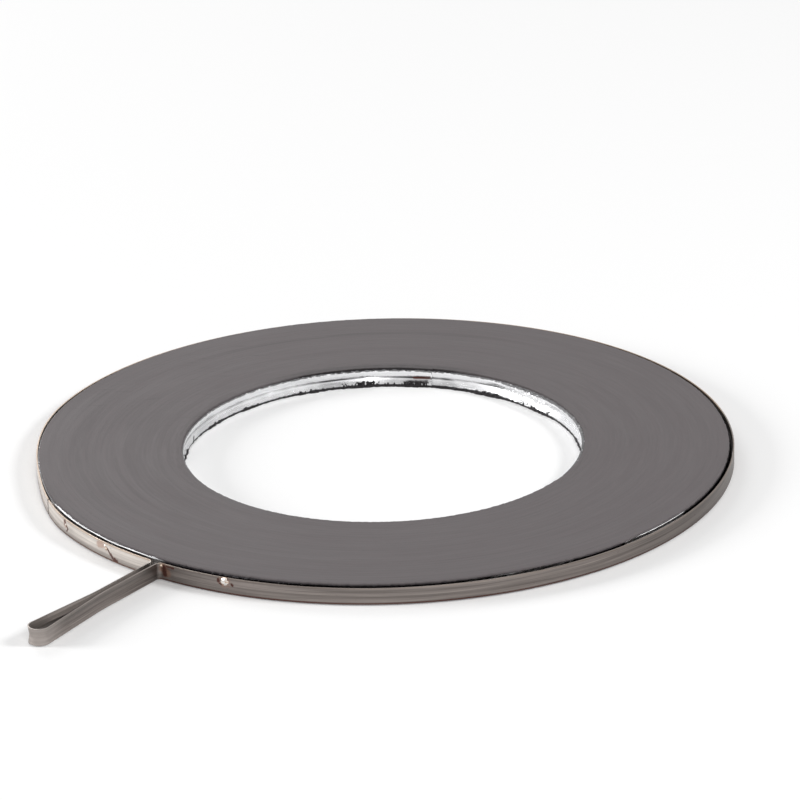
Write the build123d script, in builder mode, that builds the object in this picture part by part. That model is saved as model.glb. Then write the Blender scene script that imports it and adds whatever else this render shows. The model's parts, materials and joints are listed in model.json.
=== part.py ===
"""Spiral wound gasket, basic type: a folded metal strip and a graphite strip wound together, with a strip handle.

The ring lies flat. Its axis is Z, and the origin is its centre, half way between its two graphite faces.
"""

import os
from math import asin, atan2, cos, degrees, hypot, radians, sin, sqrt

from build123d import *

# The wound metal strip. Its middle is folded outwards along its whole length.
strip_width = 2.6
strip_thickness = 0.2
fold_depth = 0.4
land_width = 0.35

# The graphite strip between the turns of metal. It stands proud of the metal on both faces.
filler_thickness = 0.65
filler_proud = 0.3

# The ring
bore_diameter = 63.5
outer_diameter = 112.0
bare_turns_inside = 3
bare_turns_outside = 3
winding_start = 76.0

# Turns that carry filler are drawn with straight sides. The walls of the bare turns that face them have more.
sides_per_turn = 18
inside_wall_sides = 36
outside_wall_sides = 54

# The handle strip, which runs round the crown of the outermost turn and folds out into a flat loop.
handle_width = 2.6
handle_thickness = 0.2
handle_drop = 0.1
handle_angle = 233.4
handle_offset = -1.5
handle_length = 28.8
handle_start = 200.4
handle_end_gap = 1.0

# The strip lies flat on the rim. Along the legs it keeps its own fold, which points into the loop.
leg_fold = 0.4
fold_trace = 0.02

# The handle's legs and loop. The folds of the two legs face each other.
leg_clearance = 0.1
leg_fold_run = 4.0
loop_radius = 1.65
loop_run = 13.5
parting_radius = 40.0
start_bend_radius = 1.0
return_bend_radius = 0.8

gasket_thickness = strip_width + 2 * filler_proud

# Radii, from the bore outwards
bore_radius = bore_diameter / 2
crown_radius = outer_diameter / 2
filled_inside = bore_radius + bare_turns_inside * strip_thickness
edge_radius = crown_radius - fold_depth
filled_outside = edge_radius - bare_turns_outside * strip_thickness

# The filled zone begins and ends with filler, so it holds one turn of metal fewer than of filler.
filled_width = filled_outside - filled_inside
metal_turns = round((filled_width - filler_thickness) / (filler_thickness + strip_thickness))
pitch = (filled_width + strip_thickness) / (metal_turns + 1)
filler_room = pitch - strip_thickness
side_angle = 360 / sides_per_turn
# Corners stand as far outside a turn's true radius as the middles of its sides lie inside it.
corner_stretch = 1 / sqrt(cos(radians(side_angle / 2)))


def at(radius, angle):
    """The point in plan at a radius and an angle in degrees."""
    return (radius * cos(radians(angle)), radius * sin(radians(angle)))


def wound_line(start_radius, turn_radius, end_radius):
    """One edge of the strip's winding, from its start in the inner bare turns to its end in the outer ones.

    A turn keeps its radius up to its last corner, and the side after that climbs to the next turn.
    """
    points = [at(start_radius, winding_start)]
    for turn in range(metal_turns):
        for side in range(1, sides_per_turn + 1):
            points.append(at((turn_radius + turn * pitch) * corner_stretch, winding_start + side * side_angle))
    points.append(at(end_radius, winding_start + side_angle))
    return points


# Both ends of the winding run half a thickness into the bare turns that they join.
bite = strip_thickness / 2
first_turn = filled_inside + filler_room
inner_line = wound_line(filled_inside - strip_thickness - bite, first_turn, filled_outside + bite)
outer_line = wound_line(filled_inside - bite, first_turn + strip_thickness, filled_outside + strip_thickness + bite)
winding_outline = inner_line + outer_line[::-1]

# Metal: the bare turns lie close on each other, and the filled turns spiral from the inner ones to the outer ones.
with BuildPart() as winding_strip:
    with BuildSketch():
        with BuildLine():
            Polyline(*winding_outline, close=True)
        make_face()
        with BuildSketch(mode=Mode.PRIVATE) as bare_turns:
            Circle(edge_radius)
            RegularPolygon(filled_outside, outside_wall_sides, mode=Mode.SUBTRACT)
            RegularPolygon(filled_inside, inside_wall_sides)
            Circle(bore_radius, mode=Mode.SUBTRACT)
        add(bare_turns.sketch)
    extrude(amount=strip_width / 2, both=True)
    # The fold shows as a crown round the outside, and as a groove between two upright lands round the bore.
    for wall_radius, half_width, fold_mode in (
        (edge_radius, strip_width / 2, Mode.ADD),
        (bore_radius, strip_width / 2 - land_width, Mode.SUBTRACT),
    ):
        with BuildSketch(Plane.XZ):
            with BuildLine():
                Polyline(
                    (wall_radius, -half_width),
                    (wall_radius + fold_depth, 0),
                    (wall_radius, half_width),
                    close=True,
                )
            make_face()
        revolve(axis=Axis.Z, mode=fold_mode)
winding_strip.part.label = "winding_strip"

# Graphite: all of the filled zone that the metal leaves, which is one long strip, at full thickness.
with BuildPart() as filler_strip:
    with BuildSketch():
        RegularPolygon(filled_outside, outside_wall_sides)
        RegularPolygon(filled_inside, inside_wall_sides, mode=Mode.SUBTRACT)
        with BuildLine():
            Polyline(*winding_outline, close=True)
        make_face(mode=Mode.SUBTRACT)
    extrude(amount=gasket_thickness / 2, both=True)
filler_strip.part.label = "filler_strip"

# The handle's plan, with X along the handle and the ring's axis at the origin.
handle_plane = Plane.XY.offset(-handle_drop).rotated((0, 0, handle_angle))
rim_radius = crown_radius + handle_thickness / 2
leg_spread = leg_clearance / 2 + leg_fold + handle_thickness / 2
loop_centre = crown_radius + handle_length - loop_radius - handle_thickness / 2
parting = loop_centre - loop_run
parting_angle = degrees(asin(loop_radius / hypot(loop_run, leg_spread)) - atan2(leg_spread, loop_run))
parting_reach = parting_radius * sin(radians(parting_angle / 2)) / cos(radians(parting_angle / 2))


def bend_centre(radius, side):
    """Centre of the bend between the rim and a leg, on the start side (-1) or the return side (1)."""
    across = handle_offset + side * (leg_spread + radius)
    return (sqrt((rim_radius + radius) ** 2 - across**2), across)


start_centre = bend_centre(start_bend_radius, -1)
return_centre = bend_centre(return_bend_radius, 1)
start_bend_angle = degrees(atan2(start_centre[1], start_centre[0]))
return_bend_angle = degrees(atan2(return_centre[1], return_centre[0]))


def strip_section(path, position, fold):
    """The handle strip's section across its path, folded inwards by the given depth."""
    along = path % position
    across = Plane(origin=path @ position, x_dir=along.cross(Vector(0, 0, 1)), z_dir=along)
    half_thickness = handle_thickness / 2
    half_width = handle_width / 2
    with BuildSketch(across) as section:
        with BuildLine():
            Polyline(
                (-half_thickness, -half_width),
                (-half_thickness - fold, 0),
                (-half_thickness, half_width),
                (half_thickness, half_width),
                (half_thickness - fold, 0),
                (half_thickness, -half_width),
                close=True,
            )
        make_face()
    return section.sketch


with BuildPart() as handle_strip:
    # Round the rim to the handle, and out along the first leg.
    start_side = handle_offset - leg_spread
    start_turn = handle_start - handle_angle
    with BuildLine(handle_plane) as start_run:
        CenterArc((0, 0), rim_radius, start_turn, start_bend_angle - start_turn)
        CenterArc(start_centre, start_bend_radius, start_bend_angle + 180, -90 - start_bend_angle)
    # Back from the second leg, and on round the rim almost to where the strip began.
    return_side = handle_offset + leg_spread
    end_turn = start_turn + 360 - handle_end_gap
    with BuildLine(handle_plane) as return_run:
        CenterArc(return_centre, return_bend_radius, -90, return_bend_angle - 90)
        CenterArc((0, 0), rim_radius, return_bend_angle, end_turn - return_bend_angle)
    # The legs run close together, part, and meet round the loop.
    parting_start = parting - parting_reach
    with BuildLine(handle_plane) as loop_run_line:
        Line((start_centre[0] + leg_fold_run, start_side), (parting_start, start_side))
        start_arc = CenterArc((parting_start, start_side - parting_radius), parting_radius, 90, -parting_angle)
        loop = CenterArc((loop_centre, handle_offset), loop_radius, -90 - parting_angle, 180 + 2 * parting_angle)
        return_arc = CenterArc(
            (parting_start, return_side + parting_radius), parting_radius, parting_angle - 90, -parting_angle
        )
        Line(start_arc @ 1, loop @ 0)
        Line(loop @ 1, return_arc @ 0)
        Line((parting_start, return_side), (return_centre[0] + leg_fold_run, return_side))
    start_path = start_run.wires()[0]
    loop_path = loop_run_line.wires()[0]
    return_path = return_run.wires()[0]
    for path, fold in ((start_path, 0), (loop_path, leg_fold), (return_path, 0)):
        sweep(sections=strip_section(path, 0, fold), path=path)
    # The fold opens from a trace to its full depth over the first few millimetres of each leg.
    loft(sections=[strip_section(start_path, 1, fold_trace), strip_section(loop_path, 0, leg_fold)], ruled=True)
    loft(sections=[strip_section(loop_path, 1, leg_fold), strip_section(return_path, 0, fold_trace)], ruled=True)
handle_strip.part.label = "handle_strip"

os.makedirs("parts", exist_ok=True)
for piece in (winding_strip, filler_strip, handle_strip):
    export_step(piece.part, f"parts/{piece.part.label}.step")
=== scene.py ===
"""Dresses the frame of a spiral wound gasket: its winding, graphite filler, strip handle and spot welds."""

import json
from collections import namedtuple
from functools import cached_property
from math import asin, atan2, cos, hypot, pi, radians, remainder, sin, sqrt, tan
from random import Random

import bmesh
import bpy
from bpy.props import FloatProperty, FloatVectorProperty, IntProperty, PointerProperty
from mathutils import Matrix, Vector, noise


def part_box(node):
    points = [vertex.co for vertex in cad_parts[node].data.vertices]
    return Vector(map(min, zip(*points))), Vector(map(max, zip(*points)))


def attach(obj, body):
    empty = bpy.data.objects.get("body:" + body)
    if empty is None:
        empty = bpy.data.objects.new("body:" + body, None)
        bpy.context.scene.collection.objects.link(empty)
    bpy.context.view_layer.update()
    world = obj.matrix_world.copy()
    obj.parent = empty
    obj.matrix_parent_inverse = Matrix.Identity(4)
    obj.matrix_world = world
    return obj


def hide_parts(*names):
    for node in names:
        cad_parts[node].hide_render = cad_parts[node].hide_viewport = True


bl_info = {
    "name": "Spiral Wound Gasket",
    "version": (1, 0, 0),
    "blender": (4, 5, 0),
    "location": "View3D > Sidebar > Gasket",
    "description": "Winds the strips of a gasket and finishes its handle, welds and graphite",
    "category": "Mesh",
}

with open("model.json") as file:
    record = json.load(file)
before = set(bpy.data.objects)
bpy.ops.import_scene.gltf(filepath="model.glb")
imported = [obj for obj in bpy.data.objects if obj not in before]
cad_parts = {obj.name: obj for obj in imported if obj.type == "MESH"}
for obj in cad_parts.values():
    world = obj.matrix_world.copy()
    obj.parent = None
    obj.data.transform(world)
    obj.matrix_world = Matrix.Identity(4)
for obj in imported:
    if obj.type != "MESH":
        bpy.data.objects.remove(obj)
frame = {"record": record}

MM = 0.001
MERGE_DISTANCE = 0.001 * MM
BODY = "root"
BORE = next(mount for mount in frame["record"]["mounts"] if mount["name"] == "bore")
_, WINDING_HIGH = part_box("winding_strip")
FILLER_LOW, FILLER_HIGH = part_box("filler_strip")
HANDLE_LOW, HANDLE_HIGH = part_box("handle_strip")
HANDLE_MIDDLE = (HANDLE_LOW.z + HANDLE_HIGH.z) / 2


# Properties


def length(name, description, default):
    """A length in metres that a user would change."""
    return FloatProperty(
        name=name, description=description, default=default,
        min=0, precision=5, subtype="DISTANCE", unit="LENGTH",
    )


def angle(name, description, degrees):
    """An angle that a user would change, given here in degrees."""
    return FloatProperty(
        name=name, description=description, default=radians(degrees), subtype="ANGLE", unit="ROTATION"
    )


def colour(name, description, default):
    """A finish's colour that a user would change."""
    return FloatVectorProperty(
        name=name, description=description, default=default, min=0, max=1, size=3, subtype="COLOR"
    )


class WindingSettings(bpy.types.PropertyGroup):
    """Sizes of the wound steel strip and of the graphite between its turns."""

    bore_radius: length("Bore Radius", "Inside radius of the innermost turn", BORE["dims"]["r_mm"] * MM)
    crown_radius: length("Crown Radius", "Radius over the fold of the outermost turn", WINDING_HIGH.x)
    strip_width: length("Strip Width", "Width of the steel strip", BORE["dims"]["length_mm"] * MM)
    strip_thickness: length("Strip Thickness", "Thickness of the steel strip", 0.2 * MM)
    fold_depth: length("Fold Depth", "How far the strip's middle is folded outwards", 0.4 * MM)
    land_width: length("Land Width", "Upright part of the strip beside each edge", 0.35 * MM)
    face_height: length("Face Height", "Height of the graphite faces from the middle", FILLER_HIGH.z)
    bare_turns: IntProperty(
        name="Bare Turns", description="Turns without filler, at the bore and at the rim", default=3, min=1
    )
    filled_turns: FloatProperty(
        name="Filled Turns", description="Turns of strip that carry filler", default=26.5, min=1
    )
    start_angle: angle("Start Angle", "Where the strip begins in the bore", 74.5)
    steps_per_turn: IntProperty(
        name="Steps per Turn", description="Straight pieces that a turn is made of", default=168, min=24
    )
    crumple_angle: angle("Crumple Angle", "Middle of the crumpled patch in the bore", 40)
    crumple_run: angle("Crumple Run", "Arc on each side over which the crumpling fades", 17)
    crumple_depth: length("Crumple Depth", "How far the crumpled strip stands into the bore", 0.70 * MM)


class HandleSettings(bpy.types.PropertyGroup):
    """Sizes of the strip that runs round the rim and folds out into the handle."""

    strip_width: length("Strip Width", "Width of the handle strip", HANDLE_HIGH.z - HANDLE_LOW.z)
    strip_thickness: length("Strip Thickness", "Thickness of the handle strip", 0.2 * MM)
    handle_angle: angle("Handle Angle", "Direction of the handle", 233.4)
    offset: FloatProperty(
        name="Offset", description="How far the handle's line passes from the ring's axis", default=-1.5 * MM,
        precision=5, subtype="DISTANCE", unit="LENGTH",
    )
    reach: length("Reach", "Distance from the ring's axis to the handle's tip", 85.1 * MM)
    start_angle: angle("Start Angle", "Where the strip begins on the rim", 200.4)
    end_gap: angle("End Gap", "Arc left open between the strip's two ends", 0.5)
    fold_depth: length("Fold Depth", "Depth of the legs' fold, which points into the loop", 0.4 * MM)
    fold_run: length("Fold Run", "Length of leg over which the fold opens", 4.0 * MM)
    leg_clearance: length("Leg Clearance", "Gap between the crowns of the two legs", 0.1 * MM)
    loop_radius: length("Loop Radius", "Middle radius of the loop", 1.65 * MM)
    loop_flattening: FloatProperty(
        name="Loop Flattening", description="Share of the fold that is lost round the loop", default=0.5,
        min=0, max=1, subtype="FACTOR",
    )
    loop_run: length("Loop Run", "Length over which the legs part", 13.5 * MM)
    parting_radius: length("Parting Radius", "Bend radius where the legs part", 40 * MM)
    start_bend: length("Start Bend", "Bend radius from the rim to the first leg", 1.0 * MM)
    return_bend: length("Return Bend", "Bend radius from the second leg to the rim", 0.8 * MM)
    back_rise: length("Back Rise", "How much higher the strip sits on the back of the rim", 0.12 * MM)
    back_angle: angle("Back Angle", "Middle of the raised stretch, from the handle", 135)


class DentSettings(bpy.types.PropertyGroup):
    """The shallow dent in the rim, beside the handle strip's ends."""

    middle: angle("Middle", "Where the dent is deepest", 188)
    run_up: angle("Run Up", "Arc from where the dent begins to its middle", 30)
    run_out: angle("Run Out", "Arc from the dent's middle to where it ends", 21)
    depth: length("Depth", "How far the turns are pushed in", 0.65 * MM)
    flattening: length("Flattening", "How much of the turns' fold is pressed flat there", 0.40 * MM)
    reach: length("Reach", "Width of the graphite that gives way behind the bare turns", 4.0 * MM)


class FinishSettings(bpy.types.PropertyGroup):
    """Colours of the finishes."""

    steel: colour("Steel", "Bright rolled strip", (0.94, 0.94, 0.95))
    grey_steel: colour("Grey Steel", "Rolling lines and worn places in the strip", (0.66, 0.66, 0.68))
    # Painted sheen: a lighter colour for the handle strip where it catches light
    sheen_steel: colour("Handle Sheen Steel", "Handle strip where a sheen is painted on", (0.74, 0.69, 0.64))
    dull_handle: colour("Dull Handle Steel", "Handle strip dulled by graphite dust", (0.218, 0.192, 0.178))
    worn_tip: colour("Worn Tip", "Handle strip round the loop, touched most", (0.34, 0.305, 0.285))
    # Painted light: a lighter copy of the handle strip's colour for the inside of its legs
    lit_inside_steel: colour("Lit Inside Steel", "Inside of the handle's legs", (0.27, 0.245, 0.23))
    straw_tint: colour("Straw Tint", "Faint heat tint of a slit edge", (0.44, 0.33, 0.25))
    heat_tint: colour("Heat Tint", "Brown halo of a weld", (0.36, 0.17, 0.10))
    burn: colour("Burn", "Dark oxide round a weld", (0.075, 0.026, 0.020))
    weld: colour("Weld", "Bright metal of a weld's bead", (0.80, 0.77, 0.73))
    graphite: colour("Graphite", "Pressed graphite face", (0.089, 0.077, 0.0795))
    dark_graphite: colour("Dark Graphite", "Torn or smeared graphite", (0.018, 0.016, 0.018))
    floor: colour("Floor", "Pale table", (0.88, 0.88, 0.88))


# Mesh helpers

Arc = namedtuple("Arc", "start end share")


def make_object(bm, name, material):
    """Makes a mesh object of the bmesh and gives it its finish."""
    mesh = bpy.data.meshes.new(name)
    bm.to_mesh(mesh)
    bm.free()
    mesh.materials.append(material)
    made = bpy.data.objects.new(name, mesh)
    bpy.context.scene.collection.objects.link(made)
    return made


def add_piece(bm, name, material, stands_for=()):
    """Makes a piece of the bmesh, and lets it ride on the frame's body."""
    piece = make_object(bm, name, material)
    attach(piece, BODY)
    if stands_for:
        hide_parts(*stands_for)
    return piece


def shade_by_angle(piece, sharp_angle):
    """Smooth shading that breaks at edges sharper than the angle, in degrees."""
    piece.data.shade_smooth()
    piece.data.set_sharp_from_angle(angle=radians(sharp_angle))


def smooth_ramp(value):
    """0 below 0, 1 above 1, and a smooth S between."""
    value = min(max(value, 0), 1)
    return value * value * (3 - 2 * value)


def in_degrees(turn):
    """An angle in degrees, from 0 to 360."""
    return turn * 180 / pi % 360


def turn_of(vert):
    """A vertex's angle round the ring."""
    return atan2(vert.co.y, vert.co.x)


def turn_from(middle, vert):
    """A vertex's angle round the ring, counted both ways from a middle."""
    return remainder(turn_of(vert) - middle, 2 * pi)


def within(arc, turn, fade):
    """1 inside an arc and 0 outside it, with a smooth fade of so many degrees inside both ends."""
    degrees = in_degrees(turn)
    return smooth_ramp((degrees - arc.start) / fade) * smooth_ramp((arc.end - degrees) / fade)


def on_ring(radius, degrees, height):
    """The point at a radius, at an angle in degrees and at a height."""
    return Vector((radius * cos(radians(degrees)), radius * sin(radians(degrees)), height))


def ragged(turn, grain, seed):
    """Uneven value from 0 to 1 round the ring, with about as many lumps in a radian as the grain says."""
    place = Vector((cos(turn), sin(turn), 0)) * grain
    return min(max(0.5 + noise.fractal(place + Vector((0, 0, seed)), 0.9, 2.1, 3), 0), 1)


def extrude(bm, edges):
    """Extrudes edges. Returns the new vertices, and the new edges that run along them."""
    made = bmesh.ops.extrude_edge_only(bm, edges=edges)["geom"]
    verts = [item for item in made if isinstance(item, bmesh.types.BMVert)]
    reached = set(verts)
    edges = [item for item in made if isinstance(item, bmesh.types.BMEdge) and reached.issuperset(item.verts)]
    return verts, edges


def press_dent(bm, scene, folded=True):
    """Pushes the rim in at its dent. The turns' fold is pressed flat there, and a flat strip follows it."""
    dent = scene.gasket_dent
    sizes = scene.gasket_winding
    firm_radius = sizes.crown_radius - sizes.fold_depth - sizes.bare_turns * sizes.strip_thickness
    fold_height = sizes.strip_width / 2 - sizes.land_width
    for vert in bm.verts:
        radius = vert.co.xy.length
        turn = turn_from(dent.middle, vert)
        run = dent.run_out if turn > 0 else dent.run_up
        share = smooth_ramp(1 - abs(turn) / run) * smooth_ramp(1 - (firm_radius - radius) / dent.reach)
        if share > 0:
            lean = min(abs(vert.co.z) / fold_height, 1) if folded else 0
            vert.co.xy *= 1 - share * (dent.depth + dent.flattening * (1 - lean)) / radius


# The two spirals

# Burrs on the outermost turn's upper edge: arcs in degrees, and how far they stand up in mm
BURRS = (
    Arc(203, 212, 0.18),
    Arc(213, 221, 0.28),
    Arc(222, 231, 0.21),
    Arc(282, 288, 0.26),
    Arc(290, 300, 0.26),
    Arc(311, 327, 0.29),
)
BURR_FADE = 2
BURR_LEAN = 0.6

# The crumpled foil: cuts in each edge of its faces, and how the depth is shared by its forms
CRUMPLE_CUTS = 7
BULGE_SHARE = 0.55
CREASE_SHARE = 0.30
FINE_SHARE = 0.10
EDGE_WAVE = 0.22 * MM


def raise_burrs(bm, scene):
    """Raises the outermost turn's upper edge where it stands up beside the graphite, and leans it out."""
    sizes = scene.gasket_winding
    upper_edge = 0.45 * sizes.strip_width
    outermost = sizes.crown_radius - sizes.fold_depth - 1.1 * sizes.strip_thickness
    for vert in bm.verts:
        if vert.co.z > upper_edge and vert.co.xy.length > outermost:
            turn = turn_of(vert)
            rise = max(burr.share * within(burr, turn, BURR_FADE) for burr in BURRS)
            rise *= (0.8 + 0.2 * ragged(turn, grain=30, seed=17)) * MM
            vert.co.z += rise
            vert.co.xy *= 1 + BURR_LEAN * rise / vert.co.xy.length


def crumple(bm, scene):
    """Crumples a stretch of the innermost turn like foil: its faces are divided and pushed into the bore."""
    sizes = scene.gasket_winding
    reach = sizes.bore_radius + sizes.fold_depth + 1.5 * sizes.strip_thickness
    one_turn = 2 * pi * reach
    along = bm.verts.layers.float["along"]

    def share_at(vert):
        return smooth_ramp(1 - abs(turn_from(sizes.crumple_angle, vert)) / sizes.crumple_run)

    def crumples(vert):
        return share_at(vert) > 0 and vert[along] < one_turn and vert.co.xy.length < reach

    faces = [face for face in bm.faces if all(crumples(vert) for vert in face.verts)]
    edges = list({edge for face in faces for edge in face.edges})
    made = bmesh.ops.subdivide_edges(bm, edges=edges, cuts=CRUMPLE_CUTS, use_grid_fill=True)["geom_inner"]
    patch = {vert for face in faces if face.is_valid for vert in face.verts}
    patch.update(item for item in made if isinstance(item, bmesh.types.BMVert))
    quarter_width = sizes.strip_width / 4
    for vert in patch:
        share = share_at(vert)
        place = Vector((turn_of(vert) * sizes.bore_radius, vert.co.z, 0)) / MM
        bulge = 0.5 + 0.5 * noise.noise(place * 0.7)
        creases = 1 - 2 * abs(noise.noise(place * 1.6 + Vector((9, 4, 2))))
        fine = noise.noise(place * 4)
        relief = BULGE_SHARE * bulge + CREASE_SHARE * creases + FINE_SHARE * fine
        push = sizes.crumple_depth * share * relief
        top = smooth_ramp((vert.co.z - quarter_width) / quarter_width)
        vert.co.xy *= 1 - push / vert.co.xy.length
        vert.co.z += share * top * EDGE_WAVE * noise.noise(Vector((place.x * 1.3, 7, 1)))


def pitch(sizes):
    """Radial distance from one filled turn to the next."""
    edge_radius = sizes.crown_radius - sizes.fold_depth
    bare_width = 2 * sizes.bare_turns * sizes.strip_thickness
    filled_width = edge_radius - sizes.bore_radius - bare_width - sizes.strip_thickness
    return filled_width / sizes.filled_turns


def turn_radius(sizes, turns):
    """Inside radius of the strip's edge, after a number of turns from its start in the bore."""
    filled = min(max(turns - sizes.bare_turns, 0), sizes.filled_turns)
    bare = turns - filled
    return sizes.bore_radius + bare * sizes.strip_thickness + filled * pitch(sizes)


def wind(sizes, section, first_turn, last_turn):
    """Spins the section from one turn count to another, and moves each step out to its own radius.

    All turns are spun side by side, once round, and then each turn's end is merged with the next one's start.
    A corner of the section is (turns back, offset, height): its radius is the strip's inside radius that
    many turns before, plus the offset.
    """
    bm = bmesh.new()
    along = bm.verts.layers.float.new("along")
    turn = first_turn
    while turn < last_turn:
        # A group of turns that are all as long: the whole ones first, then what is left.
        count = max(int(last_turn - turn), 1)
        share = min(last_turn - turn, 1)
        spin_turns(bm, along, sizes, section, turn, count, share)
        turn += count * share
    bmesh.ops.remove_doubles(bm, verts=bm.verts, dist=MERGE_DISTANCE)
    ends = [edge for edge in bm.edges if edge.is_boundary]
    bmesh.ops.holes_fill(bm, edges=ends, sides=len(section))
    bmesh.ops.recalc_face_normals(bm, faces=bm.faces)
    return bm


def spin_turns(bm, along, sizes, section, first_turn, count, share):
    """Spins several neighbouring turns, side by side, through the same share of a full turn."""
    steps = round(share * sizes.steps_per_turn)
    made_before = len(bm.verts)
    edges = []
    for _ in range(count):
        ring = [bm.verts.new((sizes.bore_radius + offset, 0, height)) for back, offset, height in section]
        edges += [bm.edges.new(pair) for pair in zip(ring, ring[1:] + ring[:1])]
    bm.verts.ensure_lookup_table()
    start = sizes.start_angle + 2 * pi * first_turn
    bmesh.ops.rotate(bm, verts=bm.verts[made_before:], cent=(0, 0, 0), matrix=Matrix.Rotation(start, 3, "Z"))
    bmesh.ops.spin(bm, geom=edges, cent=(0, 0, 0), axis=(0, 0, 1), angle=2 * pi * share, steps=steps)
    bm.verts.ensure_lookup_table()
    for index, vert in enumerate(bm.verts[made_before:]):
        step, place = divmod(index, count * len(section))
        turn, corner = divmod(place, len(section))
        back, offset, height = section[corner]
        turns = first_turn + turn + share * step / steps
        radius = turn_radius(sizes, turns - back) + offset
        vert.co.xy = vert.co.xy.normalized() * radius
        vert[along] = pi * turns * (sizes.bore_radius + turn_radius(sizes, turns))


class GASKET_OT_add_winding(bpy.types.Operator):
    """Winds the folded steel strip: bare turns at the bore, filled turns, bare turns at the rim"""

    bl_idname = "gasket.add_winding"
    bl_label = "Add Winding"

    def execute(self, context):
        sizes = context.scene.gasket_winding
        # Bare turns lie close on each other, but stay apart by a hair so that none is joined to the next.
        thickness = sizes.strip_thickness - 4 * MERGE_DISTANCE
        half_width = sizes.strip_width / 2
        fold_start = half_width - sizes.land_width
        edge_rounding = thickness / 4
        inner_side = [
            (0, -half_width + edge_rounding),
            (0, -fold_start),
            (sizes.fold_depth, 0),
            (0, fold_start),
            (0, half_width - edge_rounding),
        ]
        section = [(0, offset, height) for offset, height in inner_side]
        section += [(0, edge_rounding, half_width), (0, thickness - edge_rounding, half_width)]
        section += [(0, offset + thickness, height) for offset, height in inner_side[::-1]]
        section += [(0, thickness - edge_rounding, -half_width), (0, edge_rounding, -half_width)]
        bm = wind(sizes, section, 0, 2 * sizes.bare_turns + sizes.filled_turns)
        crumple(bm, context.scene)
        raise_burrs(bm, context.scene)
        press_dent(bm, context.scene)
        material = strip_steel(context.scene)
        piece = add_piece(bm, "wound_steel_strip", material, ["winding_strip"])
        shade_by_angle(piece, 25)
        return {"FINISHED"}


class GASKET_OT_add_filler(bpy.types.Operator):
    """Winds the graphite strip between the filled turns, pressed out over the steel's edges at both faces"""

    bl_idname = "gasket.add_filler"
    bl_label = "Add Filler"

    def execute(self, context):
        sizes = context.scene.gasket_winding
        thickness = sizes.strip_thickness
        half_width = sizes.strip_width / 2
        # Neighbouring turns spread over half of the steel's edge each, and leave a fine line between them.
        overhang = thickness * 0.495
        line_slope = thickness * 0.05
        line_depth = 0.006 * MM
        neck = half_width + 0.08 * MM
        side = [
            (overhang - line_slope, sizes.face_height),
            (overhang, sizes.face_height - line_depth),
            (overhang, neck),
            (0, half_width),
        ]
        outer_side = [(0, out, height) for out, height in side]
        outer_side += [(0, sizes.fold_depth, 0)]
        outer_side += [(0, out, -height) for out, height in side[::-1]]
        inner_side = [(1, thickness - out, -height) for out, height in side]
        inner_side += [(1, thickness + sizes.fold_depth, 0)]
        inner_side += [(1, thickness - out, height) for out, height in side[::-1]]
        first_turn = sizes.bare_turns
        bm = wind(sizes, outer_side + inner_side, first_turn, first_turn + sizes.filled_turns + 1)
        press_dent(bm, context.scene)
        material = pressed_graphite(context.scene)
        piece = add_piece(bm, "wound_graphite_strip", material, ["filler_strip"])
        shade_by_angle(piece, 20)
        return {"FINISHED"}


# The handle strip

# Rows of points up the strip, and steps in each of its runs
STRIP_ROWS = 9
START_STEPS = 24
BEND_STEPS = 10
LEG_STEPS = 24
PARTING_STEPS = 6
SLOPE_STEPS = 12
LOOP_STEPS = 28
RIM_STEPS = 170

# The fold is flattened round the loop. It is back at its full depth this many loop lengths from the tip.
FOLD_BACK = 1.6

# The strip is raised in full up to the first angle on both sides of the back, and not beyond the second.
RAISED_IN_FULL = radians(18)
RAISED_TO = radians(108)


class StripRun:
    """An upright strip laid out run by run: its edge is extruded along straights and spun round bends."""

    def __init__(self, rows, width, position, heading):
        self.bm = bmesh.new()
        self.rows = rows
        self.position = Vector(position)
        self.heading = heading
        self.headings = [heading]
        self.stations = [0.0]
        verts = [self.bm.verts.new((*position, width * (row / (rows - 1) - 0.5))) for row in range(rows)]
        self.edge = [self.bm.edges.new(pair) for pair in zip(verts, verts[1:])]

    def record(self, steps, distance, turn):
        """Notes the distance and the heading at each new step."""
        start = self.stations[-1]
        for step in range(1, steps + 1):
            self.stations.append(start + distance * step / steps)
            self.headings.append(self.heading + turn * step / steps)
        self.heading += turn

    def straight(self, distance, steps):
        """Extrudes the edge straight on."""
        stride = Vector((cos(self.heading), sin(self.heading), 0)) * (distance / steps)
        for _ in range(steps):
            verts, self.edge = extrude(self.bm, self.edge)
            bmesh.ops.translate(self.bm, verts=verts, vec=stride)
        self.position += stride.xy * steps
        self.record(steps, distance, 0)

    def bend(self, radius, turn, steps):
        """Spins the edge through a turn, to the left if it is positive."""
        side = 1 if turn > 0 else -1
        to_centre = Vector((-sin(self.heading), cos(self.heading))) * radius * side
        centre = self.position + to_centre
        made = bmesh.ops.spin(
            self.bm, geom=self.edge, cent=(*centre, 0), axis=(0, 0, 1), angle=turn, steps=steps
        )["geom_last"]
        self.edge = [item for item in made if isinstance(item, bmesh.types.BMEdge)]
        self.position = centre + Matrix.Rotation(turn, 2) @ -to_centre
        self.record(steps, radius * abs(turn), turn)


def off_the_rim(rim, bend, across):
    """Where the bend between rim and leg has its centre: how far out along the handle, and at what angle."""
    out = sqrt((rim + bend) ** 2 - across**2)
    return out, atan2(across, out)


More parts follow.
